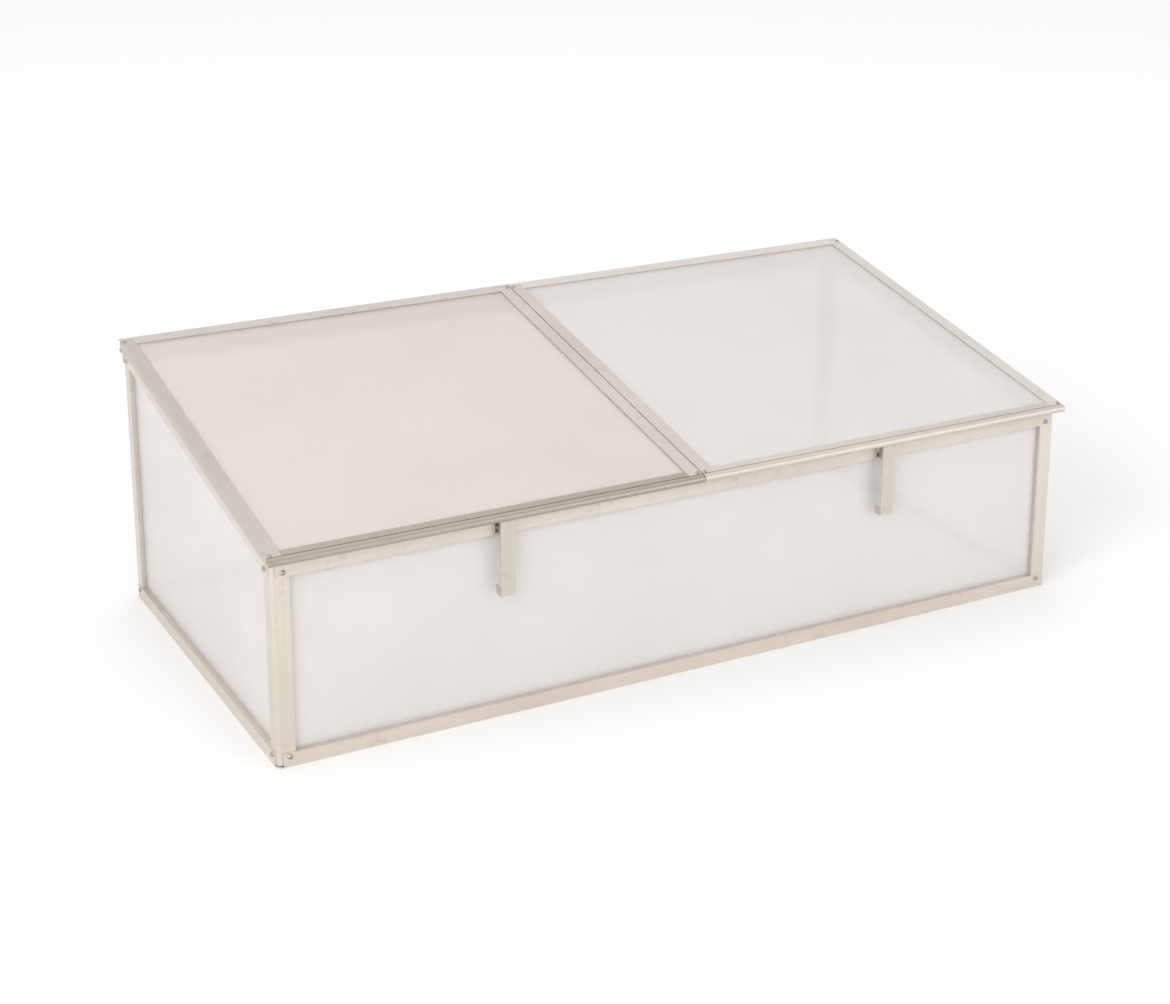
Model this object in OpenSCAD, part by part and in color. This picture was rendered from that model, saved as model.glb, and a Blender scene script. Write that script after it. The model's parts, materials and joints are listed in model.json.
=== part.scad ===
// Aluminium cold frame with two hinged lids glazed in twin-wall sheet.
// +X runs along the length, -Y is the low front, +Z is up and Z = 0 is the ground.
// The origin is the centre of the whole object's footprint.

/* [Body] */
// Length over the long rails
body_length = 1250; // [900:10:1600]
// Depth over the short rails
body_depth = 620; // [480:10:800]
// Height of the hinge line's top above the ground
back_height = 410; // [360:5:520]
// Height of the lids' front edge above the ground, at its underside
front_height = 288; // [220:2:300]

/* [Extrusions] */
// Thickness of every aluminium wall
wall = 1.4; // [1.2:0.1:1.6]
// Height of the bottom rails' outer faces
bottom_rail_h = 20; // [18:1:28]
// Height of the top rails' outer faces
top_rail_h = 26; // [24:1:32]
// How far the sheets lie behind the rails' outer faces
ledge = 8; // [8:0.5:10]
// How deep the bottom rails hold the sheets
bottom_bite = 9; // [7:0.5:10]
// How deep the top rails hold the sheets
top_bite = 3; // [2.5:0.5:3]
// How far the grooves' inner lips stand past the outer faces
lip_rise = 4; // [3:0.5:6]
// Width of the rails' top and foot flanges
flange_w = 14; // [10:0.5:14]
// Width of each leg of the corner posts
post_leg = 25; // [24:1:32]
// Outer radius of the posts' corners
post_round = 5; // [3:0.5:6]
// How deep the posts hold the sheets
post_bite = 10; // [6:0.5:10]
// Height of the posts' lower ends above the ground
post_foot = 4; // [2:0.5:6]
// Distance from a corner to the end of a top rail's outer face
top_rail_inset = 8; // [7:0.5:10]
// Distance from a corner to the end of a bottom rail's outer face
bottom_rail_inset = 9; // [7:0.5:11]

/* [Twin-wall sheet] */
// Thickness of the sheet
sheet_t = 4; // [3:0.5:4]
// Thickness of its two skins
sheet_skin = 0.45; // [0.4:0.05:0.8]
// Thickness of its ribs
sheet_rib = 0.45; // [0.4:0.05:0.8]
// Spacing of its ribs
rib_pitch = 5.6; // [5:0.1:10]
// Clearance on each side of a sheet in its groove
sheet_fit = 0.2; // [0.1:0.05:0.3]
// Clearance between a sheet's edge and the bottom of its groove
sheet_end_fit = 0.6; // [0.4:0.1:1]

/* [Lids] */
// Gap between the two lids
lid_gap = 1.5; // [1:0.5:4]
// Overhang of the lids past the short rails
lid_overhang = 5; // [4.5:0.5:8]
// Distance of the front nose's axis ahead of the body
nose_reach = 12; // [10:1:20]
// Outer radius of the nose and of the hinge channel
bead_shell_r = 5; // [5:0.5:6]
// Width of the lid's side stiles
stile_w = 20; // [18:1:26]
// Width of the hollow tube along a stile's outer side
stile_tube_w = 10; // [9:0.5:12]
// Depth of the outer stiles' skirts below the lid's top
stile_h = 11.5; // [9:0.5:14]
// Width of the back rail's flange, from the hinge axis
back_flange_w = 20; // [16:1:24]
// Width of the front rail's flange, from the nose's axis
front_flange_w = 18; // [16:1:24]
// Width of the drip groove along the front rail
drip_groove_w = 1.5; // [0.6:0.1:1.5]
// Gap between a stile's back end and the hinge channel
stile_back_gap = 2; // [0.5:0.5:4]
// Clearance between the closed lid and the rails under it
seat_gap = 0.8; // [0.5:0.1:2]
// Length of the tongues that slide into the stiles
tongue_l = 13; // [10:1:20]

/* [Hinge] */
// Radius of the hinge bead on the back rail
hinge_bead_r = 3; // [2.5:0.1:3]
// Width of the stem under the bead
hinge_stem_w = 2; // [1.6:0.1:2.4]
// Running clearance round the hinge and stay beads
bead_fit = 0.08; // [0.04:0.01:0.1]
// How far the lids open
lid_open_deg = 104; // [60:1:110]
// Extra opening of each bead channel at both ends of its swing
swing_spare_deg = 6; // [4:1:10]
// Height of the gap between the hinge axis and the rail below
hinge_rise = 7; // [7:0.5:9]

/* [Stays] */
// Width of the hanging stays
stay_w = 21; // [16:1:30]
// Thickness of the stays
stay_t = 1.8; // [1.4:0.1:2]
// Length of the stays below the nose's axis
stay_drop = 112; // [80:1:150]
// Radius of the stays' hanging beads
stay_bead_r = 2.5; // [2:0.1:2.5]
// Height of the tab at the stay's lower corner
tab_h = 11; // [8:0.5:13]
// Reach of the tab behind the stay
tab_reach = 15; // [8:0.5:16]
// How far the stays fold in towards the lids
stay_fold_deg = 78; // [45:1:78]
// Distance between the two stays
stay_spacing = 610; // [300:10:700]
// Sideways shift of both stays from the middle of the body
stay_shift = 5; // [-20:1:20]
// Width of the slots that take the tabs
slot_w = 5; // [4.5:0.1:7]
// Height of the slots
slot_h = 15; // [12:0.5:18]
// Height of the slots above the front rail's lower edge
slot_up = 2.5; // [2.5:0.5:4]

/* [Fasteners] */
// Distance of the frame bolts from the body's corners
bolt_inset = 18; // [15:0.5:18]
// Height of the bottom bolts above the ground
bottom_bolt_up = 14.5; // [8:0.5:15]
// Height of the top bolts above the top rails' lower edges
top_bolt_up = 5.5; // [4.5:0.5:8]
// Radius of the frame bolts' shanks
bolt_r = 2; // [1.5:0.1:2]
// Radius of the frame bolts' heads
bolt_head_r = 3.6; // [3:0.1:4]
// Height of the frame bolts' heads
bolt_head_h = 2.2; // [1.6:0.1:2.4]
// Width across the flats of the nuts
nut_af = 7; // [5.5:0.1:7]
// Thickness of the nuts
nut_t = 3; // [2:0.1:3]
// Clearance of the bolts in their holes
bolt_fit = 0.2; // [0.1:0.05:0.3]
// Radius of the lid screws' shanks
screw_r = 1.6; // [1.2:0.1:1.8]
// Radius of the lid screws' heads
screw_head_r = 3; // [2.5:0.1:3.2]
// Height of the lid screws' heads
screw_head_h = 1.8; // [1.4:0.1:2.2]
// Length of the lid screws' shanks beyond the sheet's thickness
screw_l = 1.2; // [0:0.1:1.4]
// Thickness of the hinge's end stops
stop_t = 2.5; // [2:0.1:3]
// Height of the hinge's end stops
stop_h = 14.5; // [12:0.5:16]
// Depth of the hinge's end stops
stop_d = 15; // [12:0.5:18]
// Length of the end stop screws' shanks
stop_screw_l = 12; // [8:1:16]

/* [Hidden] */
$fn = 48;
eps = 0.01;
LEFT = -1;
RIGHT = 1;

// Colours
alu = "#ded4c8";
alu_grey = "#bdb8ae";
steel = "#b9b4ac";
sheet = [0.90, 0.88, 0.86, 0.75];

half_l = body_length / 2;
half_d = body_depth / 2;

// Small fixed gaps, each named after what it keeps apart
rail_post_gap = 0.2;
tongue_fit = 0.2;
thread_fit = 0.05;
port_face_gap = 0.6;
port_roof_gap = 1.5;
post_port_gap = 1;
back_web_gap = 1;
stay_web_gap = 0.45;
stop_lid_gap = 0.6;
stop_screw_gap = 0.3;
notch_front_gap = 0.5;
notch_under_gap = 0.3;

// Grooves that hold the sheets
groove_w = sheet_t + 2 * sheet_fit;
groove_in = ledge + groove_w;
groove_back = groove_in + wall;

// Corner posts: their faces lie one wall inside the rails' faces
post_end = wall + post_leg;
post_stop = post_end - post_bite;
post_zone = post_end + rail_post_gap;

// Hinge axis, nose axis and the lids' slope
hinge_y = half_d - bead_shell_r;
hinge_z = back_height - bead_shell_r;
nose_y = -half_d - nose_reach;
nose_z = front_height + bead_shell_r;
slope = atan2(hinge_z - nose_z, hinge_y - nose_y);
nose_u = norm([hinge_z - nose_z, hinge_y - nose_y]);

// Levels in the lid, measured from the plane of its two axes
lid_top = bead_shell_r;
flange_under = lid_top - wall;
groove_low = flange_under - groove_w;
lid_under = groove_low - wall;
tongue_low = flange_under - wall;

// Top rails: each one's top edge lies just under the closed lid
side_rail_top = lid_under - seat_gap;
front_rail_top = hinge_z - (hinge_y + half_d) * tan(slope) + side_rail_top / cos(slope);
back_rail_top = hinge_z - hinge_rise;
front_post_top = front_rail_top - wall;

// The back posts stop below the screw port in the back top rail
port_r = screw_r + wall;
port_d = wall + screw_r + port_face_gap;
port_z = back_rail_top - wall - port_r - port_roof_gap;
back_post_top = port_z - port_r - post_port_gap;

// Lids
lid_w = half_l + lid_overhang - lid_gap / 2;
back_web = bead_shell_r + back_web_gap;
front_web = nose_web_offset();
drip_setback = 0.8;
drip_v = bead_shell_r - drip_setback;
stile_front_v = drip_v + drip_groove_w;
stile_start = bead_shell_r + stile_back_gap;
stile_lip_setback = 2;
tongue_x0 = wall + tongue_fit;
tongue_x1 = stile_tube_w - wall - tongue_fit;
tongue_mid = (tongue_x0 + tongue_x1) / 2;
tongue_root_share = 0.56;
tongue_root = tongue_root_share * bead_shell_r;
front_screw_in = 3.4;
back_screw_in = 4;
front_screw_v = stile_front_v + front_screw_in;
back_screw_u = stile_start + back_screw_in;

// The sheet's thickness sets the room under the tongues, so the screws follow it
lid_screw_l = sheet_t + screw_l;

// Stays
stay_bottom = nose_z - stay_drop;

// The object's extremes front and back, and the shift that centres them
front_extreme = nose_y - bead_shell_r;
back_extreme = half_d + bolt_head_h;
y_shift = -(front_extreme + back_extreme) / 2;

// The front rail's web stands where the folded stay just clears it
function nose_web_offset() =
    (stay_t / 2 / cos(90 - stay_fold_deg + slope) - lid_under + stay_web_gap)
    / tan(90 - stay_fold_deg + slope);

function stay_x(side) = stay_shift + side * stay_spacing / 2;
function slope_z(y, level) = hinge_z + (y - hinge_y) * tan(slope) + level / cos(slope);
function cell_count(w) = floor((w - sheet_rib) / rib_pitch);

// ---------- placement ----------

module in_frame() {
    translate([0, y_shift, 0]) children();
}

// A wall's own frame: X along the wall, Y inwards from its outer face
module at_wall(name) {
    turn = name == "front" ? 0 : name == "back" ? 180 : name == "left" ? -90 : 90;
    reach = (name == "front" || name == "back") ? half_d : half_l;
    in_frame() rotate([0, 0, turn]) translate([0, -reach, 0]) children();
}

// The four corners, seen from the front left one
module at_corner(side, is_back) {
    in_frame()
        mirror([side == RIGHT ? 1 : 0, 0, 0])
            mirror([0, is_back ? 1 : 0, 0])
                translate([-half_l, -half_d, 0]) children();
}

// The lids' frame: X from the lid's left edge, -Y down the slope from the hinge axis
module in_lid(side) {
    in_frame()
        translate([side == LEFT ? -half_l - lid_overhang : lid_gap / 2, hinge_y, hinge_z])
            rotate([slope, 0, 0]) children();
}

module at_nose() {
    translate([0, -nose_u, 0]) children();
}

// Sections drawn as (Y, Z) and extruded along X
module along_x(x0, x1) {
    translate([x0, 0, 0]) rotate([90, 0, 90]) linear_extrude(x1 - x0) children();
}

// Sections drawn as (X, Z) and extruded along Y
module along_y(y0, y1) {
    translate([0, y1, 0]) rotate([90, 0, 0]) linear_extrude(y1 - y0) children();
}

module rect(x0, y0, x1, y1) {
    translate([x0, y0]) square([x1 - x0, y1 - y0]);
}

// ---------- sections ----------

// Bottom rail: outer face, ledge, groove that opens upwards, and foot
module bottom_section() {
    floor_z = bottom_rail_h - bottom_bite;
    rect(0, 0, wall, bottom_rail_h);
    rect(0, 0, flange_w, wall);
    rect(0, bottom_rail_h - wall, ledge, bottom_rail_h);
    rect(ledge - wall, floor_z - wall, ledge, bottom_rail_h);
    rect(ledge - wall, floor_z - wall, groove_back, floor_z);
    rect(groove_in, floor_z - wall, groove_back, bottom_rail_h + lip_rise);
}

// Top rail: outer face, top flange, and groove that opens downwards
module top_section() {
    low = -top_rail_h;
    roof = low + top_bite;
    rect(0, low, wall, 0);
    rect(0, -wall, flange_w, 0);
    rect(0, low, ledge, low + wall);
    rect(ledge - wall, low, ledge, roof + wall);
    rect(ledge - wall, roof, groove_back, roof + wall);
    rect(groove_in, low - lip_rise, groove_back, roof + wall);
}

module rounded_corner(size, r) {
    translate([r, r]) circle(r);
    rect(r, 0, size, size);
    rect(0, r, size, size);
}

// Corner post: outer skin with a rounded corner, and a groove for each sheet
module post_section() {
    difference() {
        translate([wall, wall]) rounded_corner(post_leg, post_round);
        translate([2 * wall, 2 * wall]) rounded_corner(post_leg, post_round - wall);
    }
    post_groove();
    mirror([1, -1, 0]) post_groove();
    rect(groove_in, groove_in, post_stop, post_stop);
}

module post_groove() {
    rect(post_end - wall, wall, post_end, ledge);
    rect(post_stop - wall, ledge - wall, post_end, ledge);
    rect(post_stop - wall, ledge - wall, post_stop, groove_back);
    rect(post_stop - wall, groove_in, post_end, groove_back);
}

// Wedge with its point at the origin, from angle a to angle b
module wedge(a, b, r) {
    polygon(concat([[0, 0]], [for (i = [0:8]) r * [cos(a + (b - a) * i / 8), sin(a + (b - a) * i / 8)]]));
}

// Channel that wraps a bead and opens where the bead's stem or strip swings
module bead_channel(bead_r, a, b) {
    difference() {
        circle(bead_shell_r);
        circle(bead_r + bead_fit);
        wedge(a, b, 2 * bead_shell_r);
    }
}

// The stem's angular half width where it meets the bead
function neck_deg(neck_w, bead_r) = asin(neck_w / 2 / (bead_r + bead_fit)) + swing_spare_deg;

module hinge_channel() {
    neck = neck_deg(hinge_stem_w, hinge_bead_r);
    bead_channel(hinge_bead_r, 270 - neck - slope, 270 + neck + lid_open_deg - slope);
}

module nose_channel() {
    neck = neck_deg(stay_t, stay_bead_r);
    bead_channel(stay_bead_r, 270 - neck - slope, 270 + neck + stay_fold_deg - slope);
}

// Lid stile: tube along the outer side, then a groove for the sheet
module stile_section(depth) {
    rect(0, lid_top - depth, wall, lid_top);
    rect(0, flange_under, stile_w, lid_top);
    rect(0, lid_under, stile_w - stile_lip_setback, groove_low);
    rect(stile_tube_w - wall, lid_under, stile_tube_w, lid_top);
}

// Twin-wall sheet, width along X and thickness along Y
module sheet_section(w) {
    n = cell_count(w);
    margin = (w - n * rib_pitch - sheet_rib) / 2;
    difference() {
        square([w, sheet_t]);
        for (i = [0:n - 1])
            translate([margin + sheet_rib + i * rib_pitch, sheet_skin])
                square([rib_pitch - sheet_rib, sheet_t - 2 * sheet_skin]);
    }
}

// ---------- holes and fasteners ----------

// A hole or shank along Y, in a wall's own frame
module across(x, z, r, y0, y1) {
    translate([x, y1, z]) rotate([90, 0, 0]) cylinder(r = r, h = y1 - y0);
}

module bolt_holes(span, z) {
    for (x = [-1, 1] * (span / 2 - bolt_inset))
        across(x, z, bolt_r + bolt_fit, -eps, wall + eps);
}

// A domed head with a hexagonal socket, its seat at Z = 0 and its shank below
module screw(shank_r, shank_l, head_r, head_h) {
    difference() {
        rotate_extrude()
            polygon([[0, -shank_l], [shank_r, -shank_l], [shank_r, 0], [head_r, 0],
                     [head_r, head_h * 0.45], [head_r * 0.72, head_h * 0.9], [head_r * 0.4, head_h],
                     [0, head_h]]);
        translate([0, 0, head_h * 0.4]) cylinder(r = head_r * 0.42, h = head_h, $fn = 6);
    }
}

module frame_bolt(x, z) {
    translate([x, 0, z]) rotate([90, 0, 0])
        screw(bolt_r, 2 * wall + nut_t, bolt_head_r, bolt_head_h);
}

module frame_nut(x, z) {
    translate([x, 2 * wall + nut_t, z]) rotate([90, 0, 0])
        difference() {
            cylinder(d = nut_af / cos(30), h = nut_t, $fn = 6);
            translate([0, 0, -eps]) cylinder(r = bolt_r + thread_fit, h = nut_t + 2 * eps);
        }
}

// Each corner's four bolt places, as [wall, side along that wall, height]
function top_bolt_z(name, at_back) =
    name == "front" ? front_rail_top - top_rail_h + top_bolt_up
    : name == "back" ? back_rail_top - top_rail_h + top_bolt_up
    : slope_z((at_back ? 1 : -1) * (half_d - bolt_inset), side_rail_top - top_rail_h + top_bolt_up);

module each_bolt_place() {
    for (name = ["front", "back"])
        for (k = [-1, 1])
            for (z = [bottom_bolt_up, top_bolt_z(name, name == "back")])
                at_wall(name) translate([k * (half_l - bolt_inset), 0, z]) children();
    for (name = ["left", "right"])
        for (k = [-1, 1])
            for (z = [bottom_bolt_up, top_bolt_z(name, name == "left" ? k < 0 : k > 0)])
                at_wall(name) translate([k * (half_d - bolt_inset), 0, z]) children();
}

// ---------- fixed frame ----------

module bottom_rail(span) {
    color(alu)
        difference() {
            union() {
                along_x(-span / 2 + post_zone, span / 2 - post_zone) bottom_section();
                along_x(-span / 2 + bottom_rail_inset, span / 2 - bottom_rail_inset)
                    rect(0, 0, wall, bottom_rail_h);
            }
            bolt_holes(span, bottom_bolt_up);
        }
}

module front_bottom_rail() { at_wall("front") bottom_rail(body_length); }
module back_bottom_rail() { at_wall("back") bottom_rail(body_length); }
module left_bottom_rail() { at_wall("left") bottom_rail(body_depth); }
module right_bottom_rail() { at_wall("right") bottom_rail(body_depth); }

module front_top_rail() {
    slot_z = front_rail_top - top_rail_h + slot_up;
    color(alu)
        at_wall("front")
            difference() {
                union() {
                    translate([0, 0, front_rail_top])
                        along_x(-half_l + post_zone, half_l - post_zone) top_section();
                    translate([0, 0, front_rail_top])
                        along_x(-half_l + top_rail_inset, half_l - top_rail_inset)
                            rect(0, -top_rail_h, wall, 0);
                }
                bolt_holes(body_length, top_bolt_z("front", false));
                for (side = [LEFT, RIGHT])
                    translate([stay_x(side) - stay_w / 2 + stay_t / 2 - slot_w / 2, -1, slot_z])
                        cube([slot_w, groove_back + 2, slot_h]);
            }
}

// The back top rail carries the hinge bead on a stem, and a screw port at its ends
module back_top_rail() {
    color(alu)
        at_wall("back")
            difference() {
                union() {
                    translate([0, 0, back_rail_top]) {
                        along_x(-half_l + post_zone, half_l - post_zone) top_section();
                        along_x(-half_l, half_l) {
                            rect(0, -top_rail_h, wall, 0);
                            rect(0, -wall, flange_w, 0);
                        }
                    }
                    along_x(-half_l, half_l) {
                        translate([bead_shell_r, hinge_z]) circle(hinge_bead_r);
                        rect(bead_shell_r - hinge_stem_w / 2, back_rail_top - wall,
                             bead_shell_r + hinge_stem_w / 2, hinge_z);
                        difference() {
                            union() {
                                translate([port_d, port_z]) circle(port_r);
                                rect(0, port_z - port_r, port_d, port_z + port_r);
                            }
                            translate([port_d, port_z]) circle(screw_r);
                        }
                    }
                }
                bolt_holes(body_length, top_bolt_z("back", true));
            }
}

// The side top rails run down the slope and are cut upright at both ends
module side_top_rail() {
    color(alu)
        difference() {
            union() {
                intersection() {
                    sloped_run() top_section();
                    upright_slice(post_zone);
                }
                intersection() {
                    sloped_run() rect(0, -top_rail_h, wall, 0);
                    upright_slice(top_rail_inset);
                }
            }
            translate([-half_l - 1, half_d - flange_w - notch_front_gap,
                       back_rail_top - wall - notch_under_gap])
                cube([wall + 2, flange_w, back_height]);
            for (at_back = [false, true])
                translate([-half_l - eps, (at_back ? 1 : -1) * (half_d - bolt_inset),
                           top_bolt_z("left", at_back)])
                    rotate([0, 90, 0]) cylinder(r = bolt_r + bolt_fit, h = wall + 2 * eps);
        }
}

module sloped_run() {
    translate([-half_l, hinge_y, hinge_z]) rotate([slope, 0, 0])
        translate([0, 0, side_rail_top]) along_y(-nose_u, 2 * bead_shell_r) children();
}

module upright_slice(inset) {
    translate([-half_l - 1, -half_d + inset, 0])
        cube([groove_back + 2, body_depth - 2 * inset, 2 * back_height]);
}

module left_top_rail() { in_frame() side_top_rail(); }
module right_top_rail() { in_frame() mirror([1, 0, 0]) side_top_rail(); }

module post(side, is_back) {
    bottom_z = bottom_bolt_up;
    top = is_back ? back_post_top : front_post_top;
    color(alu)
        at_corner(side, is_back)
            difference() {
                translate([0, 0, post_foot]) linear_extrude(top - post_foot) post_section();
                for (z = [bottom_z, top_bolt_z(is_back ? "back" : "front", is_back)])
                    across(bolt_inset, z, bolt_r + bolt_fit, 0, 2 * wall + eps);
                for (z = [bottom_z, top_bolt_z("left", is_back)])
                    translate([0, bolt_inset, z]) rotate([0, 90, 0])
                        cylinder(r = bolt_r + bolt_fit, h = 2 * wall + eps);
            }
}

module front_left_post() { post(LEFT, false); }
module front_right_post() { post(RIGHT, false); }
module back_left_post() { post(LEFT, true); }
module back_right_post() { post(RIGHT, true); }

// Upright sheets stand in the bottom rails' grooves with their ribs upright
sheet_low = bottom_rail_h - bottom_bite + sheet_end_fit;

module upright_sheet(span, height) {
    w = span - 2 * (post_stop + sheet_end_fit);
    translate([-w / 2, ledge + sheet_fit, sheet_low])
        linear_extrude(height) sheet_section(w);
}

function sheet_top(rail_top) = rail_top - top_rail_h + top_bite - sheet_end_fit;

module front_panel() {
    color(sheet) at_wall("front") upright_sheet(body_length, sheet_top(front_rail_top) - sheet_low);
}

module back_panel() {
    color(sheet) at_wall("back") upright_sheet(body_length, sheet_top(back_rail_top) - sheet_low);
}

// The side sheets' top edges follow the slope
module side_panel(name) {
    toward_back = name == "left" ? -1 : 1;
    top_level = sheet_top(side_rail_top);
    color(sheet)
        at_wall(name)
            intersection() {
                upright_sheet(body_depth, back_height);
                translate([0, groove_back, 0]) rotate([90, 0, 0]) linear_extrude(groove_back)
                    polygon([[-half_d, 0], [half_d, 0],
                             [half_d, slope_z(toward_back * half_d, top_level)],
                             [-half_d, slope_z(-toward_back * half_d, top_level)]]);
            }
}

module left_panel() { side_panel("left"); }
module right_panel() { side_panel("right"); }

module frame_bolts() {
    color(steel) each_bolt_place() frame_bolt(0, 0);
}

module frame_nuts() {
    color(steel) each_bolt_place() frame_nut(0, 0);
}

// End stops: small plates screwed to the ends of the back top rail
stop_top = hinge_z - bead_shell_r - stop_lid_gap;

module each_rail_end() {
    for (side = [LEFT, RIGHT])
        in_frame()
            mirror([side == RIGHT ? 1 : 0, 0, 0])
                translate([-half_l, half_d, 0]) children();
}

module hinge_end_stops() {
    color(alu_grey)
        each_rail_end()
            difference() {
                translate([-stop_t, -stop_d, stop_top - stop_h]) cube([stop_t, stop_d, stop_h]);
                translate([-stop_t - eps, -port_d, port_z]) rotate([0, 90, 0])
                    cylinder(r = screw_r + bolt_fit, h = stop_t + 2 * eps);
            }
}

module end_stop_screws() {
    color(steel)
        each_rail_end()
            translate([-stop_t, -port_d, port_z]) rotate([0, -90, 0])
                screw(screw_r - thread_fit, stop_screw_l, screw_head_r,
                      lid_overhang - stop_t - stop_screw_gap);
}

// ---------- lids ----------

// A rail's two tongues, one for each stile, in the plane under the top flanges
module tongues(y0, y1, screw_y) {
    for (x0 = [tongue_x0, lid_w - tongue_x1])
        difference() {
            translate([x0, y0, tongue_low])
                cube([tongue_x1 - tongue_x0, y1 - y0, wall]);
            translate([x0 + tongue_mid - tongue_x0, screw_y, tongue_low - eps])
                cylinder(r = screw_r + thread_fit, h = wall + 2 * eps);
        }
}

module lid_back_rail(side) {
    color(alu)
        in_lid(side) {
            along_x(0, lid_w) hinge_channel();
            along_x(stile_w, lid_w - stile_w) {
                rect(-back_flange_w, flange_under, 0, lid_top);
                rect(-back_web - wall, lid_under, -back_web, lid_top);
                rect(-back_flange_w, lid_under, -back_web, groove_low);
            }
            tongues(-stile_start - tongue_l, -tongue_root, -back_screw_u);
        }
}

module lid_front_rail(side) {
    color(alu_grey)
        in_lid(side) at_nose() {
            difference() {
                union() {
                    along_x(0, lid_w) {
                        nose_channel();
                        rect(0, flange_under, drip_v, lid_top);
                    }
                    along_x(stile_w, lid_w - stile_w) {
                        rect(0, flange_under, front_flange_w, lid_top);
                        rect(front_web, lid_under, front_web + wall, lid_top);
                        rect(front_web, lid_under, front_flange_w, groove_low);
                    }
                }
                along_x(-eps, lid_w + eps) {
                    rect(drip_v, lid_top - wall / 2, stile_front_v, lid_top + 1);
                    circle(stay_bead_r + bead_fit);
                }
            }
            tongues(tongue_root, stile_front_v + tongue_l, front_screw_v);
        }
}

// A stile in the frame of the lid's left edge, with the given side depth
module stile(depth) {
    difference() {
        along_y(-nose_u + stile_front_v, -stile_start) stile_section(depth);
        for (y = [-nose_u + front_screw_v, -back_screw_u])
            translate([tongue_mid, y, flange_under - eps])
                cylinder(r = screw_r + bolt_fit, h = wall + 2 * eps);
    }
}

module stile_at(side, at_right, depth) {
    color(alu)
        in_lid(side)
            translate([at_right ? lid_w : 0, 0, 0]) mirror([at_right ? 1 : 0, 0, 0]) stile(depth);
}

module lid_panel(side) {
    panel_w = lid_w - 2 * (stile_tube_w + sheet_end_fit);
    back_edge = -back_web - wall - sheet_end_fit;
    front_edge = -nose_u + front_web + wall + sheet_end_fit;
    color(sheet)
        in_lid(side)
            translate([(lid_w - panel_w) / 2, back_edge, groove_low + sheet_fit])
                rotate([90, 0, 0]) linear_extrude(back_edge - front_edge) sheet_section(panel_w);
}

module lid_screws(side) {
    color(steel)
        in_lid(side)
            for (x = [tongue_mid, lid_w - tongue_mid])
                for (y = [-nose_u + front_screw_v, -back_screw_u])
                    translate([x, y, lid_top]) screw(screw_r, lid_screw_l, screw_head_r, screw_head_h);
}

module left_lid_back_rail() { lid_back_rail(LEFT); }
module left_lid_front_rail() { lid_front_rail(LEFT); }
module left_lid_outer_stile() { stile_at(LEFT, false, stile_h); }
module left_lid_inner_stile() { stile_at(LEFT, true, lid_top - lid_under); }
module left_lid_panel() { lid_panel(LEFT); }
module left_lid_screws() { lid_screws(LEFT); }
module right_lid_back_rail() { lid_back_rail(RIGHT); }
module right_lid_front_rail() { lid_front_rail(RIGHT); }
module right_lid_outer_stile() { stile_at(RIGHT, true, stile_h); }
module right_lid_inner_stile() { stile_at(RIGHT, false, lid_top - lid_under); }
module right_lid_panel() { lid_panel(RIGHT); }
module right_lid_screws() { lid_screws(RIGHT); }

// ---------- stays ----------

// A strip that hangs from its bead, with a tab folded back from its lower left corner
module stay(side) {
    color(alu)
        in_frame() translate([stay_x(side) - stay_w / 2, nose_y, nose_z]) {
            along_x(0, stay_w) {
                circle(stay_bead_r);
                rect(-stay_t / 2, -stay_drop, stay_t / 2, 0);
            }
            translate([0, -stay_t / 2, -stay_drop]) cube([stay_t, tab_reach + stay_t / 2, tab_h]);
        }
}

module left_stay() { stay(LEFT); }
module right_stay() { stay(RIGHT); }

front_bottom_rail();
back_bottom_rail();
left_bottom_rail();
right_bottom_rail();
front_top_rail();
back_top_rail();
left_top_rail();
right_top_rail();
front_left_post();
front_right_post();
back_left_post();
back_right_post();
front_panel();
back_panel();
left_panel();
right_panel();
frame_bolts();
frame_nuts();
hinge_end_stops();
end_stop_screws();
left_lid_back_rail();
left_lid_front_rail();
left_lid_outer_stile();
left_lid_inner_stile();
left_lid_panel();
left_lid_screws();
right_lid_back_rail();
right_lid_front_rail();
right_lid_outer_stile();
right_lid_inner_stile();
right_lid_panel();
right_lid_screws();
left_stay();
right_stay();
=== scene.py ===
"""An aluminium cold frame with two hinged lids, glazed in milky twin-wall sheet."""

import json
import math

import bpy
from mathutils import Matrix, Vector


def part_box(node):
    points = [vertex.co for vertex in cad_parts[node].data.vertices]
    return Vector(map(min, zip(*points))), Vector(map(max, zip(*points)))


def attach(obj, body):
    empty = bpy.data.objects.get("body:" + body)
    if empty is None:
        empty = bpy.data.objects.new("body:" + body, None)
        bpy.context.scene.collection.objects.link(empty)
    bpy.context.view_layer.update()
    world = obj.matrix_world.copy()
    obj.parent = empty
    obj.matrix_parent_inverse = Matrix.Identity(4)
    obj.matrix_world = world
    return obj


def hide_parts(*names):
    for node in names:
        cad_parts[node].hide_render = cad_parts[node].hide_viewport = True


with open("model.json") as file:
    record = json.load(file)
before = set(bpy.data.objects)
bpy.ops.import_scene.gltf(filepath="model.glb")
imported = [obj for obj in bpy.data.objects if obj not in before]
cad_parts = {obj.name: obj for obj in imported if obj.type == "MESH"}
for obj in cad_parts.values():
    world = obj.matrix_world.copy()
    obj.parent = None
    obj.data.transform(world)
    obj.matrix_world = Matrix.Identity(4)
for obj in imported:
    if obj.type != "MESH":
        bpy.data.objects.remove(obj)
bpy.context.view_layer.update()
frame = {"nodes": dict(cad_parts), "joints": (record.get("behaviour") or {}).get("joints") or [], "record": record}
NODES = frame["nodes"]
MATERIAL_OF = {s["node"]: s["material_slot"] for s in frame["record"]["subparts"]}
JOINTS = {j["name"]: j for j in frame["joints"]}

# ---------- sizes, in metres ----------

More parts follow.
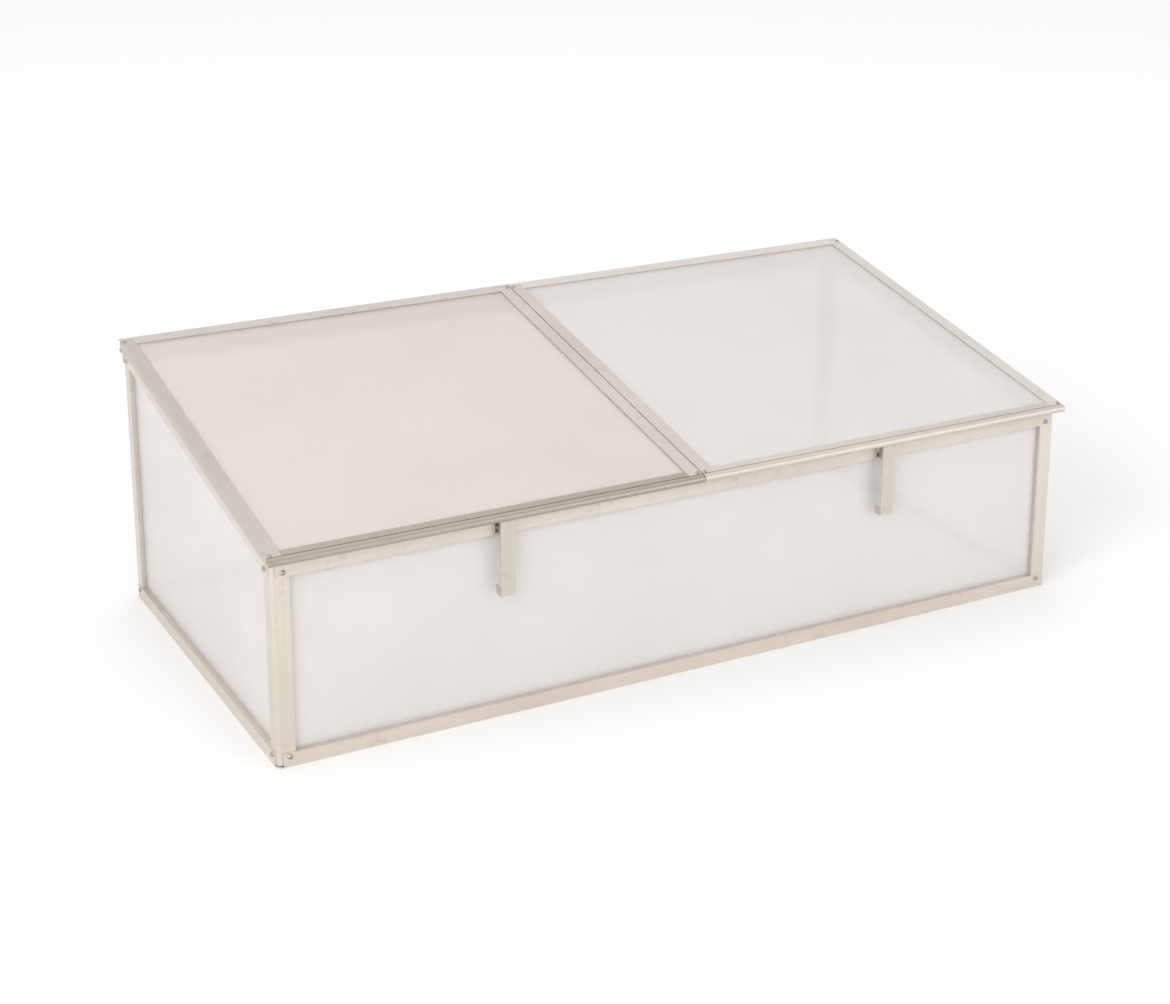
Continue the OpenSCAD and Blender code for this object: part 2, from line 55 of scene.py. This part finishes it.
SHEET_SKIN = 0.00045
SHEET_RIB = 0.00050
SHEET_PITCH = 0.0056
SHEET_SINK = 0.00004
EDGE_ROUND = 0.00022
SMALL_EDGE_ROUND = 0.00012

# How near a sheet's side a corner counts as lying on it
EDGE_REACH = 0.001

# Digits after the point that tell two corners of a sheet apart
CORNER_DIGITS = 7

# The bevel's steps, and the angle in degrees from which an edge is rounded
BEVEL_SEGMENTS = 2
SHARP_ANGLE = 50.0

# ---------- numbers of the materials ----------

WHITE = (1.0, 1.0, 1.0)
REFRACTION = 1.5

# Noise, in cells per metre: the die lines across and along a profile, then the other patterns
DIE_LINES_ACROSS, DIE_LINES_ALONG = 1500.0, 2.5
PATCHES, PATCH_STRETCH = 14.0, 3.0
SMUDGES = 45.0
BLOTCHES = 420.0
CLOUDS = 3.2
HAZE = 38.0

# How far each pattern spreads the aluminium's tone and roughness
TONE_SPREAD = (0.6, 1.0)
SMUDGE_SPREAD, SMUDGE_RAMP = (0.35, 1.0), (0.28, 0.42)
LINE_WEAR = (0.9, 1.1)
ROUGHNESS_SPREAD = 0.06

# Relief: the bump's strength and its depth in metres
LINE_RELIEF = (0.18, 0.00006)
BLOTCH_RELIEF = (0.15, 0.00008)

# Painted shade in narrow grooves, taken from ambient occlusion: how near the other wall lies in metres, and how
# dark it gets
CREVICE_SHADE_REACH = 0.0014
CREVICE_SHADE_DARKEST = 0.25
CREVICE_SHADE_RAMP = (0.35, 0.9)
CREVICE_SHADE_SAMPLES = 6

STEEL_DARK, STEEL_LIGHT = (0.34, 0.33, 0.31), (0.52, 0.50, 0.47)
STEEL_ROUGHNESS = (0.42, 0.26)

# The sheets' two tones and alphas; the left lid's sheet gets darker, pinker tones as painted shade
SHEET_TONES = (0.840, 0.802, 0.778), (0.858, 0.828, 0.806)
SHADED_LEFT_LID_TONES = (0.775, 0.712, 0.668), (0.795, 0.738, 0.698)
OUTSIDE_ALPHA = (0.51, 0.55)
INSIDE_ALPHA = (0.10, 0.13)
SHEET_ROUGHNESS = (0.30, 0.38)

# ---------- material helpers ----------


def new_material(name):
    """An empty node material with one Principled shader; returns (material, tree, shader)."""
    material = bpy.data.materials.new(name)
    material.use_nodes = True
    tree = material.node_tree
    return material, tree, tree.nodes["Principled BSDF"]


def stretched_noise(tree, scale, detail=3.0, roughness=0.55):
    """Noise in the object's own coordinates; scale is cells per metre along X, Y and Z."""
    coords = tree.nodes.new("ShaderNodeTexCoord")
    mapping = tree.nodes.new("ShaderNodeMapping")
    mapping.inputs["Scale"].default_value = scale
    noise = tree.nodes.new("ShaderNodeTexNoise")
    noise.inputs["Scale"].default_value = 1.0
    noise.inputs["Detail"].default_value = detail
    noise.inputs["Roughness"].default_value = roughness
    tree.links.new(coords.outputs["Object"], mapping.inputs["Vector"])
    tree.links.new(mapping.outputs["Vector"], noise.inputs["Vector"])
    return noise.outputs["Fac"]


def remap(tree, value, low, high, from_low=0.3, from_high=0.7):
    """A noise value spread over low..high."""
    node = tree.nodes.new("ShaderNodeMapRange")
    node.inputs["From Min"].default_value = from_low
    node.inputs["From Max"].default_value = from_high
    node.inputs["To Min"].default_value = low
    node.inputs["To Max"].default_value = high
    tree.links.new(value, node.inputs["Value"])
    return node.outputs["Result"]


def two_tones(tree, value, dark, light):
    """A colour between dark and light, picked by value."""
    mix = tree.nodes.new("ShaderNodeMix")
    mix.data_type = "RGBA"
    mix.inputs["A"].default_value = (*dark, 1.0)
    mix.inputs["B"].default_value = (*light, 1.0)
    tree.links.new(value, mix.inputs["Factor"])
    return mix.outputs["Result"]


def product(tree, first, second):
    """first times second."""
    node = tree.nodes.new("ShaderNodeMath")
    node.operation = "MULTIPLY"
    tree.links.new(first, node.inputs[0])
    tree.links.new(second, node.inputs[1])
    return node.outputs["Value"]


def painted_crevice_shade(tree, colour):
    """The colour, darkened inside narrow grooves by ambient occlusion: painted shade."""
    crevice = tree.nodes.new("ShaderNodeAmbientOcclusion")
    crevice.samples = CREVICE_SHADE_SAMPLES
    crevice.inputs["Distance"].default_value = CREVICE_SHADE_REACH
    shade = remap(tree, crevice.outputs["AO"], CREVICE_SHADE_DARKEST, 1.0, *CREVICE_SHADE_RAMP)
    grey = tree.nodes.new("ShaderNodeCombineColor")
    for channel in ("Red", "Green", "Blue"):
        tree.links.new(shade, grey.inputs[channel])
    mix = tree.nodes.new("ShaderNodeMix")
    mix.data_type = "RGBA"
    mix.blend_type = "MULTIPLY"
    mix.inputs["Factor"].default_value = 1.0
    tree.links.new(colour, mix.inputs["A"])
    tree.links.new(grey.outputs["Color"], mix.inputs["B"])
    return mix.outputs["Result"]


def bump(tree, shader, height, strength, distance):
    """Fine relief from a height value."""
    node = tree.nodes.new("ShaderNodeBump")
    node.inputs["Strength"].default_value = strength
    node.inputs["Distance"].default_value = distance
    tree.links.new(height, node.inputs["Height"])
    tree.links.new(node.outputs["Normal"], shader.inputs["Normal"])


# ---------- materials ----------


def extruded_aluminium(name, axis, dark, light, rough_low, rough_high, metal, crevice_shade=False):
    """Satin mill-finish aluminium whose die lines run along one axis (0, 1 or 2)."""
    material, tree, shader = new_material(name)
    line_scale = [DIE_LINES_ACROSS] * 3
    line_scale[axis] = DIE_LINES_ALONG
    patch_scale = [PATCHES] * 3
    patch_scale[axis] = PATCHES / PATCH_STRETCH
    lines = stretched_noise(tree, line_scale, detail=2.0)
    patches = stretched_noise(tree, patch_scale, detail=4.0)
    smudges = stretched_noise(tree, (SMUDGES,) * 3, detail=5.0, roughness=0.7)
    tone = product(tree, remap(tree, lines, *TONE_SPREAD), remap(tree, patches, *TONE_SPREAD))
    tone = product(tree, tone, remap(tree, smudges, *SMUDGE_SPREAD, *SMUDGE_RAMP))
    colour = two_tones(tree, tone, dark, light)
    # Painted shade: the colour darkened inside narrow grooves by ambient occlusion
    if crevice_shade:
        colour = painted_crevice_shade(tree, colour)
    tree.links.new(colour, shader.inputs["Base Color"])
    dullness = remap(tree, patches, rough_low, rough_high)
    worn = product(tree, dullness, remap(tree, lines, *LINE_WEAR))
    tree.links.new(worn, shader.inputs["Roughness"])
    shader.inputs["Metallic"].default_value = metal
    shader.inputs["IOR"].default_value = REFRACTION
    bump(tree, shader, lines, *LINE_RELIEF)
    return material


def zinc_steel():
    """Dull zinc-plated steel with small blotches."""
    material, tree, shader = new_material("zinc_steel")
    blotches = stretched_noise(tree, (BLOTCHES,) * 3, detail=4.0)
    colour = two_tones(tree, remap(tree, blotches, 0.0, 1.0), STEEL_DARK, STEEL_LIGHT)
    tree.links.new(colour, shader.inputs["Base Color"])
    tree.links.new(remap(tree, blotches, *STEEL_ROUGHNESS), shader.inputs["Roughness"])
    shader.inputs["Metallic"].default_value = 1.0
    bump(tree, shader, blotches, *BLOTCH_RELIEF)
    return material


def milky_sheet(name, tones, alphas):
    """Milky polycarbonate: each surface of the sheet hides part of what is behind it."""
    material, tree, shader = new_material(name)
    clouds = stretched_noise(tree, (CLOUDS,) * 3, detail=2.0)
    haze = stretched_noise(tree, (HAZE,) * 3, detail=3.0)
    colour = two_tones(tree, remap(tree, clouds, 0.0, 1.0), *tones)
    tree.links.new(colour, shader.inputs["Base Color"])
    tree.links.new(remap(tree, clouds, *alphas), shader.inputs["Alpha"])
    tree.links.new(remap(tree, haze, *SHEET_ROUGHNESS), shader.inputs["Roughness"])
    shader.inputs["IOR"].default_value = REFRACTION
    return material


def aluminium_set(name, dark, light, rough, metal):
    """The same aluminium with its die lines along X, Y and Z."""
    smooth, coarse = rough - ROUGHNESS_SPREAD, rough + ROUGHNESS_SPREAD
    return [
        extruded_aluminium(f"{name}_{letter}", axis, dark, light, smooth, coarse, metal)
        for axis, letter in enumerate("xyz")
    ]


# Each aluminium has its dark and its light tone, measured against the photograph
body_alu = aluminium_set(
    "body_aluminium", (0.50, 0.44, 0.375), (0.70, 0.645, 0.575), rough=0.40, metal=0.55
)
stay_alu = aluminium_set(
    "stay_aluminium", (0.43, 0.375, 0.32), (0.605, 0.555, 0.49), rough=0.40, metal=0.55
)
# The lid aluminium is greyer and darker than the body's: partly its own tone, partly painted shade for the dim
# overhead that the lid's upward faces reflect
lid_alu = aluminium_set(
    "lid_aluminium", (0.44, 0.395, 0.35), (0.635, 0.585, 0.535), rough=0.38, metal=0.60
)
# A darker copy of the lid aluminium for the left lid's outer stile: painted shade
shaded_left_stile_alu = aluminium_set(
    "dull_lid_aluminium", (0.385, 0.34, 0.30), (0.55, 0.505, 0.46), rough=0.38, metal=0.60
)
# A lighter copy of the lid aluminium for the right lid's outer stile and back rail: painted reflection
lit_right_lid_alu = aluminium_set(
    "lit_right_lid_aluminium", (0.50, 0.455, 0.41), (0.72, 0.675, 0.625), rough=0.36, metal=0.60
)
# Each lid's nose gets its own copy of the aluminium: the left one darker as painted shade, the right one lighter
# as painted light; both carry painted shade in their grooves
shaded_and_lit_nose_alu = {
    "left": extruded_aluminium(
        "left_nose_shaded_aluminium",
        axis=0,
        dark=(0.29, 0.253, 0.213),
        light=(0.43, 0.387, 0.337),
        rough_low=0.3,
        rough_high=0.42,
        metal=0.7,
        crevice_shade=True,
    ),
    "right": extruded_aluminium(
        "right_nose_lit_aluminium",
        axis=0,
        dark=(0.45, 0.415, 0.37),
        light=(0.64, 0.595, 0.54),
        rough_low=0.34,
        rough_high=0.46,
        metal=0.5,
        crevice_shade=True,
    ),
}
steel = zinc_steel()
sheet_skins = {
    "plain": milky_sheet("twin_wall_outside", SHEET_TONES, OUTSIDE_ALPHA),
    # The left lid's sheet: darker, pinker tones as painted shade
    "left_lid": milky_sheet("left_lid_outside_shaded", SHADED_LEFT_LID_TONES, OUTSIDE_ALPHA),
}
sheet_inside = milky_sheet("twin_wall_inside", SHEET_TONES, INSIDE_ALPHA)

# ---------- CAD parts that stay: rounded edges and better materials ----------


def run_axis(node):
    """The axis along which a part is longest."""
    low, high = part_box(node)
    size = [high[i] - low[i] for i in range(3)]
    return size.index(max(size))


def round_edges(part, width):
    """Breaks the sharp edges so that they catch the light."""
    modifier = part.modifiers.new("edges", "BEVEL")
    modifier.width = width
    modifier.segments = BEVEL_SEGMENTS
    modifier.limit_method = "ANGLE"
    modifier.angle_limit = math.radians(SHARP_ANGLE)
    modifier.use_clamp_overlap = True


def aluminium_of(node):
    """The aluminium of a rail, post, stile or stay."""
    # The right lid's outer stile and back rail take a lighter copy: painted reflection
    if node in ("right_lid_outer_stile", "right_lid_back_rail"):
        return lit_right_lid_alu
    # The left lid's outer stile takes a darker copy: painted shade
    if node == "left_lid_outer_stile":
        return shaded_left_stile_alu
    if node.endswith("_stay"):
        return stay_alu
    return lid_alu if "_lid_" in node else body_alu


def dress(node):
    """Gives a carried-over CAD part its material and its rounded edges."""
    part = NODES[node]
    slot = MATERIAL_OF[node]
    if slot == "steel_fasteners":
        material = steel
    # The noses take their lit or shaded copy of the aluminium: painted shade on the left lid, painted light on the
    # right
    elif node.endswith("lid_front_rail"):
        material = shaded_and_lit_nose_alu[node.split("_")[0]]
    else:
        material = aluminium_of(node)[run_axis(node)]
    part.data.materials.clear()
    part.data.materials.append(material)
    round_edges(part, SMALL_EDGE_ROUND if slot == "steel_fasteners" else EDGE_ROUND)


# ---------- twin-wall sheets ----------


class SheetPlane:
    """Where a CAD sheet lies: across its ribs, along them, and through its thickness."""

    def __init__(self, node, across, along):
        self.across = Vector(across).normalized()
        self.along = Vector(along).normalized()
        self.through = self.across.cross(self.along)
        points = [v.co for v in NODES[node].data.vertices]
        spread = [p.dot(self.across) for p in points]
        depth = [p.dot(self.through) for p in points]
        self.a0, self.a1 = min(spread), max(spread)
        self.t0, self.t1 = min(depth), max(depth)
        first = [p.dot(self.along) for p, a in zip(points, spread) if a < self.a0 + EDGE_REACH]
        last = [p.dot(self.along) for p, a in zip(points, spread) if a > self.a1 - EDGE_REACH]
        self.low = min(first)
        self.high_first, self.high_last = max(first), max(last)

    def point(self, a, t, top):
        """The 3-D point at a across and t through, at the ribs' upper or lower end."""
        share = (a - self.a0) / (self.a1 - self.a0)
        high = self.high_first + share * (self.high_last - self.high_first)
        length = high if top else self.low
        return self.across * a + self.through * t + self.along * length


class MeshBuilder:
    """Collects shared corners and faces, and which faces lie inside the sheet."""

    def __init__(self):
        self.corners = []
        self.index = {}
        self.faces = []
        self.inside = []

    def corner(self, key, place):
        """The number of the corner with this key, made at place when it is new."""
        if key not in self.index:
            self.index[key] = len(self.corners)
            self.corners.append(place)
        return self.index[key]

    def finish(self, name):
        """The collected faces as an object in the scene."""
        mesh = bpy.data.meshes.new(name)
        mesh.from_pydata([tuple(c) for c in self.corners], [], self.faces)
        mesh.polygons.foreach_set("material_index", self.inside)
        mesh.update()
        made = bpy.data.objects.new(name, mesh)
        bpy.context.scene.collection.objects.link(made)
        return made


def twin_wall(name, node, body, across, along):
    """A fluted sheet in place of a CAD sheet: two skins that sink slightly between the ribs."""
    plane = SheetPlane(node, across, along)
    width = plane.a1 - plane.a0
    cells = round((width - SHEET_RIB) / SHEET_PITCH)
    pitch = (width - SHEET_RIB) / cells
    back, front = plane.t0, plane.t1
    made = MeshBuilder()

    def at(a, t, top):
        """The corner at (a, t) in the section, at the ribs' upper or lower end."""
        key = (round(a, CORNER_DIGITS), round(t, CORNER_DIGITS), top)
        return made.corner(key, plane.point(a, t, top))

    def wall(a, t, b, u, inside=0):
        """A face along the ribs, over the section's edge from (a, t) to (b, u)."""
        made.faces.append((at(a, t, False), at(b, u, False), at(b, u, True), at(a, t, True)))
        made.inside.append(inside)

    def cap(outline):
        """The section's end faces, at the lower and at the upper end."""
        made.faces.append([at(a, t, False) for a, t in reversed(outline)])
        made.faces.append([at(a, t, True) for a, t in outline])
        made.inside += [0, 0]

    inner_back, inner_front = back + SHEET_SKIN, front - SHEET_SKIN
    for i in range(cells + 1):
        a = plane.a0 + i * pitch
        b = a + SHEET_RIB
        wall(a, back, b, back)
        wall(b, front, a, front)
        left = [(a, inner_front), (a, inner_back)] if i > 0 else []
        right = [(b, inner_back), (b, inner_front)] if i < cells else []
        cap([(a, back), (b, back), *right, (b, front), (a, front), *left])
        if i == 0:
            wall(a, front, a, back)
        if i == cells:
            wall(b, back, b, front)
            continue
        c = a + pitch
        middle = (b + c) / 2
        sunk_back, sunk_front = back + SHEET_SINK, front - SHEET_SINK
        wall(b, back, middle, sunk_back)
        wall(middle, sunk_back, c, back)
        wall(c, front, middle, sunk_front)
        wall(middle, sunk_front, b, front)
        wall(c, inner_back, b, inner_back, inside=1)
        wall(b, inner_front, c, inner_front, inside=1)
        wall(b, inner_back, b, inner_front, inside=1)
        wall(c, inner_front, c, inner_back, inside=1)
        cap([(b, back), (middle, sunk_back), (c, back), (c, inner_back), (b, inner_back)])
        cap([(b, inner_front), (c, inner_front), (c, front), (middle, sunk_front), (b, front)])
    sheet = made.finish(name)
    sheet.data.materials.append(sheet_skins.get(body, sheet_skins["plain"]))
    sheet.data.materials.append(sheet_inside)
    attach(sheet, body)
    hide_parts(node)


def lid_slope(side):
    """The unit vector down a closed lid, from its hinge towards its nose."""
    hinge = Vector(JOINTS[f"{side}_lid_hinge"]["pos_m"])
    nose = Vector(JOINTS[f"{side}_stay_hinge"]["pos_m"])
    down = nose - hinge
    down.x = 0.0
    return down.normalized()


X_AXIS, Y_AXIS, Z_AXIS = (1, 0, 0), (0, 1, 0), (0, 0, 1)


def build_sheets():
    """Every CAD sheet gets its fluted stand-in."""
    twin_wall("front_sheet", "front_panel", "frame", X_AXIS, Z_AXIS)
    twin_wall("back_sheet", "back_panel", "frame", X_AXIS, Z_AXIS)
    twin_wall("left_sheet", "left_panel", "frame", Y_AXIS, Z_AXIS)
    twin_wall("right_sheet", "right_panel", "frame", Y_AXIS, Z_AXIS)
    for side in ("left", "right"):
        twin_wall(f"{side}_lid_sheet", f"{side}_lid_panel", f"{side}_lid", X_AXIS, -lid_slope(side))


# ---------- studio ----------

IMAGE_WIDTH = 1170
FOCAL_PIXELS = 2205.3
CAMERA_PLACE = (-1.4562, -2.7584, 1.3983)
CAMERA_YAW, CAMERA_PITCH, CAMERA_ROLL = 29.2366, 16.6226, 0.5579
CAMERA_SHIFT = (-65 / IMAGE_WIDTH, -202 / IMAGE_WIDTH)
SENSOR_WIDTH = 36.0
CLIP_RANGE = (0.05, 50.0)
FLOOR_HALF = 30.0
FLOOR_TONE = (0.87, 0.87, 0.87)
# Between these distances from the object, in metres, the floor's colour is painted from its tone to white: painted
# light for the lamps' fall-off
FLOOR_NEAR, FLOOR_FAR = 1.0, 3.2
FLOOR_ROUGHNESS, FLOOR_SHINE = 0.9, 0.1
ZENITH_TONE = (0.72, 0.72, 0.72)
WORLD_RAMP = (0.15, 0.95)
WORLD_STRENGTH = 1.12
TRANSPARENT_BOUNCES = 24
LIGHT_TARGET = (0.0, 0.0, 0.2)

# Each light's name, place, size in metres and power in watts
LIGHTS = [
    ("key", (-3.2, -2.0, 2.4), 2.4, 74.0),
    ("fill", (2.2, -3.2, 1.5), 2.5, 27.0),
    ("top", (0.4, 1.4, 3.6), 2.5, 14.0),
]


def add_camera():
    """The camera at the photograph's viewing angle."""
    yaw, pitch, roll = (math.radians(a) for a in (CAMERA_YAW, CAMERA_PITCH, CAMERA_ROLL))
    flat = Vector((math.sin(yaw), math.cos(yaw), 0.0))
    forward = flat * math.cos(pitch) - Vector((0.0, 0.0, math.sin(pitch)))
    level = Vector((math.cos(yaw), -math.sin(yaw), 0.0))
    upright = level.cross(forward)
    right = level * math.cos(roll) + upright * math.sin(roll)
    up = upright * math.cos(roll) - level * math.sin(roll)
    data = bpy.data.cameras.new("camera")
    data.sensor_width = SENSOR_WIDTH
    data.lens = FOCAL_PIXELS * SENSOR_WIDTH / IMAGE_WIDTH
    data.shift_x, data.shift_y = CAMERA_SHIFT
    data.clip_start, data.clip_end = CLIP_RANGE
    camera = bpy.data.objects.new("camera", data)
    turn = Matrix((right, up, -forward)).transposed().to_4x4()
    camera.matrix_world = Matrix.Translation(CAMERA_PLACE) @ turn
    bpy.context.scene.collection.objects.link(camera)
    bpy.context.scene.camera = camera


def add_area_light(name, place, size, power):
    """A square soft light that faces the object."""
    data = bpy.data.lights.new(name, "AREA")
    data.shape = "SQUARE"
    data.size = size
    data.energy = power
    light = bpy.data.objects.new(name, data)
    light.location = place
    towards = Vector(LIGHT_TARGET) - Vector(place)
    light.rotation_euler = towards.to_track_quat("-Z", "Y").to_euler()
    bpy.context.scene.collection.objects.link(light)


def add_world(horizon, zenith, strength):
    """Soft studio light from all round, dimmer overhead."""
    world = bpy.data.worlds.new("studio")
    world.use_nodes = True
    tree = world.node_tree
    background = tree.nodes["Background"]
    coords = tree.nodes.new("ShaderNodeTexCoord")
    split = tree.nodes.new("ShaderNodeSeparateXYZ")
    tree.links.new(coords.outputs["Generated"], split.inputs["Vector"])
    height = remap(tree, split.outputs["Z"], 0.0, 1.0, *WORLD_RAMP)
    tree.links.new(two_tones(tree, height, horizon, zenith), background.inputs["Color"])
    background.inputs["Strength"].default_value = strength
    bpy.context.scene.world = world


def add_floor():
    """A pale floor, painted whiter away from the object: painted light that makes up for the lamps' fall-off."""
    half = FLOOR_HALF
    corners = [(-half, -half, 0), (half, -half, 0), (half, half, 0), (-half, half, 0)]
    mesh = bpy.data.meshes.new("floor")
    mesh.from_pydata(corners, [], [(0, 1, 2, 3)])
    floor = bpy.data.objects.new("floor", mesh)
    material, tree, shader = new_material("pale_floor")
    coords = tree.nodes.new("ShaderNodeTexCoord")
    distance = tree.nodes.new("ShaderNodeVectorMath")
    distance.operation = "LENGTH"
    tree.links.new(coords.outputs["Object"], distance.inputs[0])
    painted_floor_light = remap(tree, distance.outputs["Value"], 0.0, 1.0, FLOOR_NEAR, FLOOR_FAR)
    tree.links.new(two_tones(tree, painted_floor_light, FLOOR_TONE, WHITE), shader.inputs["Base Color"])
    shader.inputs["Roughness"].default_value = FLOOR_ROUGHNESS
    shader.inputs["Specular IOR Level"].default_value = FLOOR_SHINE
    mesh.materials.append(material)
    bpy.context.scene.collection.objects.link(floor)


def build_studio():
    """Camera, floor and lights."""
    add_camera()
    add_floor()
    add_world(WHITE, ZENITH_TONE, WORLD_STRENGTH)
    for light in LIGHTS:
        add_area_light(*light)
    bpy.context.scene.view_settings.view_transform = "Standard"
    bpy.context.scene.cycles.transparent_max_bounces = TRANSPARENT_BOUNCES


for cad_node, cad_slot in MATERIAL_OF.items():
    if cad_slot != "twin_wall_sheet":
        dress(cad_node)
build_sheets()
build_studio()
